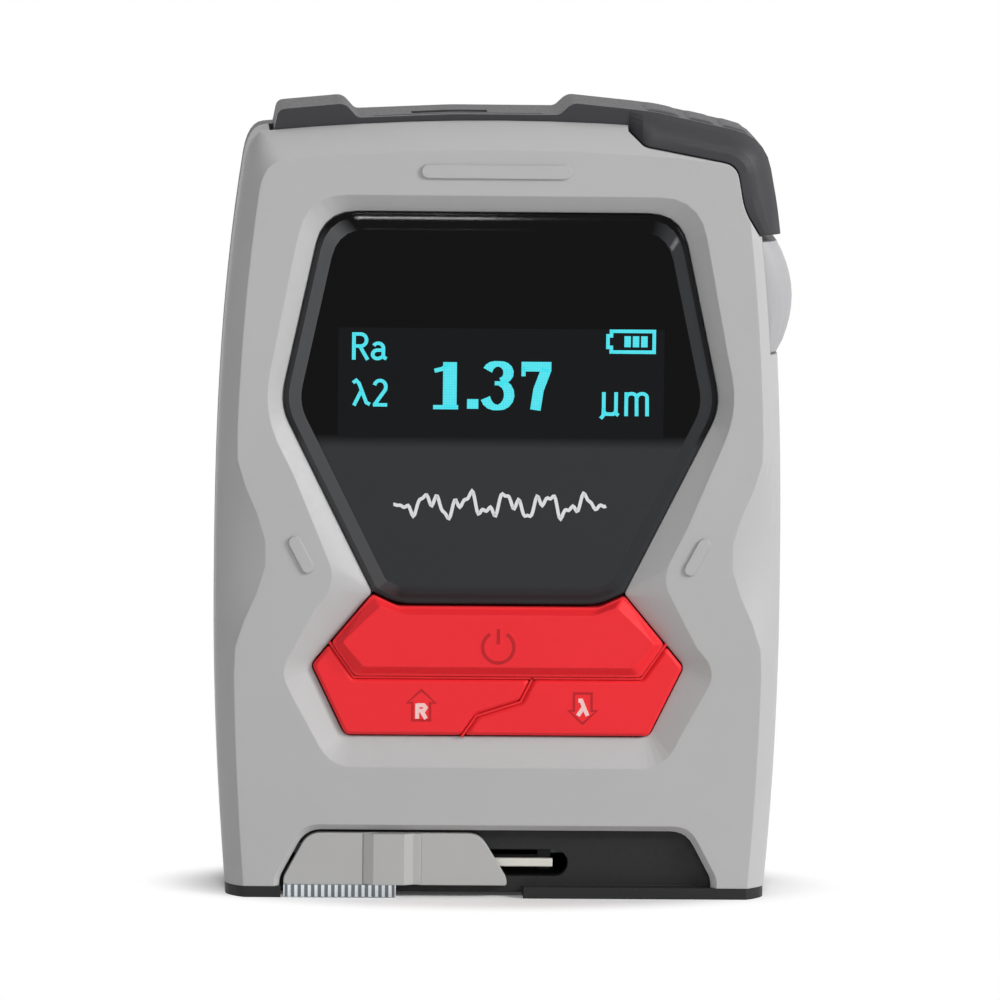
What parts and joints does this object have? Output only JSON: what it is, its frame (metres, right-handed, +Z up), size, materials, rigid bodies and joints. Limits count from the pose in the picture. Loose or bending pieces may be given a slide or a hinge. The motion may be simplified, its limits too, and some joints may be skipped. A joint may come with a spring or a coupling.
{
  "type": "surface roughness tester",
  "caption": "Hand-held surface roughness tester with a hexagonal display, red keys, a sliding shutter over its pickup and a screw-driven traverse inside.",
  "frame": {"origin": "in the flat measuring face under the foot, below the middle of the body", "axes": "+Z up along the body's height, -Y out of the front face, +X to the right seen from the front"},
  "size_m": [0.0715, 0.0243, 0.099],
  "materials": {
    "housing_grey": "fine satin moulded plastic",
    "housing_dark": "satin dark grey moulded plastic",
    "foot_black": "satin black moulded plastic",
    "lens_black": "polished black lens",
    "panel_black": "black display glass",
    "key_red": "smooth red keys",
    "holder_white": "plain moulded frame",
    "board_green": "solder mask",
    "chip_black": "plain black plastic",
    "screw_steel": "plain steel",
    "socket_steel": "bent steel",
    "battery_wrap": "shrink wrap",
    "shutter_grey": "satin moulded plastic",
    "bright_sheet": "bright folded sheet",
    "rail_steel": "ground steel",
    "drive_aluminium": "plain aluminium",
    "bush_brass": "plain brass",
    "skid_ruby": "polished red skid",
    "stylus_steel": "hard tip"
  },
  "bodies": {
    "body": {"front_housing": "housing_grey", "rear_housing": "housing_dark", "base": "foot_black", "housing_screws": "screw_steel", "display_lens": "lens_black", "oled_panel": "panel_black", "display_holder": "holder_white", "main_board": "board_green", "board_chips": "chip_black", "board_screws": "screw_steel", "key_switches": "chip_black", "side_switch": "chip_black", "buzzer": "chip_black", "usb_socket": "socket_steel", "battery": "battery_wrap", "shutter_rail": "rail_steel", "drive_frame": "drive_aluminium", "drive_screws": "screw_steel", "guide_rods": "rail_steel", "screw_bushes": "bush_brass", "gearbox": "drive_aluminium", "drive_motor": "rail_steel"},
    "power_button": {"power_key": "key_red"},
    "parameter_button": {"parameter_key": "key_red"},
    "cutoff_button": {"cutoff_key": "key_red"},
    "start_button": {"side_key": "housing_grey"},
    "shutter_unit": {"shutter": "shutter_grey", "shutter_grip": "bright_sheet", "shutter_shoe": "chip_black"},
    "carriage_unit": {"carriage": "chip_black", "lead_nut": "bush_brass", "pivot_pin": "rail_steel"},
    "screw_unit": {"lead_screw": "rail_steel"},
    "pickup_unit": {"pickup_arm": "drive_aluminium", "skid": "skid_ruby", "stylus": "stylus_steel"}
  },
  "joints": [
    {"name": "power_press", "type": "slide", "parent": "body", "child": "power_button", "axis": [0, 1, 0], "range_m": [0, 0.0005], "stiffness_N_per_m": 4000},
    {"name": "parameter_press", "type": "slide", "parent": "body", "child": "parameter_button", "axis": [0, 1, 0], "range_m": [0, 0.0005], "stiffness_N_per_m": 4000},
    {"name": "cutoff_press", "type": "slide", "parent": "body", "child": "cutoff_button", "axis": [0, 1, 0], "range_m": [0, 0.0005], "stiffness_N_per_m": 4000},
    {"name": "start_press", "type": "slide", "parent": "body", "child": "start_button", "axis": [-1, 0, 0], "range_m": [0, 0.0008], "stiffness_N_per_m": 3000},
    {"name": "shutter_slide", "type": "slide", "parent": "body", "child": "shutter_unit", "axis": [1, 0, 0], "range_m": [0, 0.015]},
    {"name": "traverse", "type": "slide", "parent": "body", "child": "carriage_unit", "axis": [1, 0, 0], "range_m": [0, 0.006]},
    {"name": "screw_turn", "type": "hinge", "parent": "body", "child": "screw_unit", "pos_m": [-0.003, 0.0022, 0.008], "axis": [1, 0, 0], "range_deg": [0, 1080.1]},
    {"name": "pickup_drop", "type": "hinge", "parent": "carriage_unit", "child": "pickup_unit", "pos_m": [-0.008, -0.0052, 0.008], "axis": [0, -1, 0], "range_deg": [0, 8]}
  ],
  "couplings": [
    {"joint": "screw_turn", "follows": "traverse", "rad_per_m": 3141.6},
    {"joint": "pickup_drop", "follows": "shutter_slide", "rad_per_m": 9.3}
  ]
}
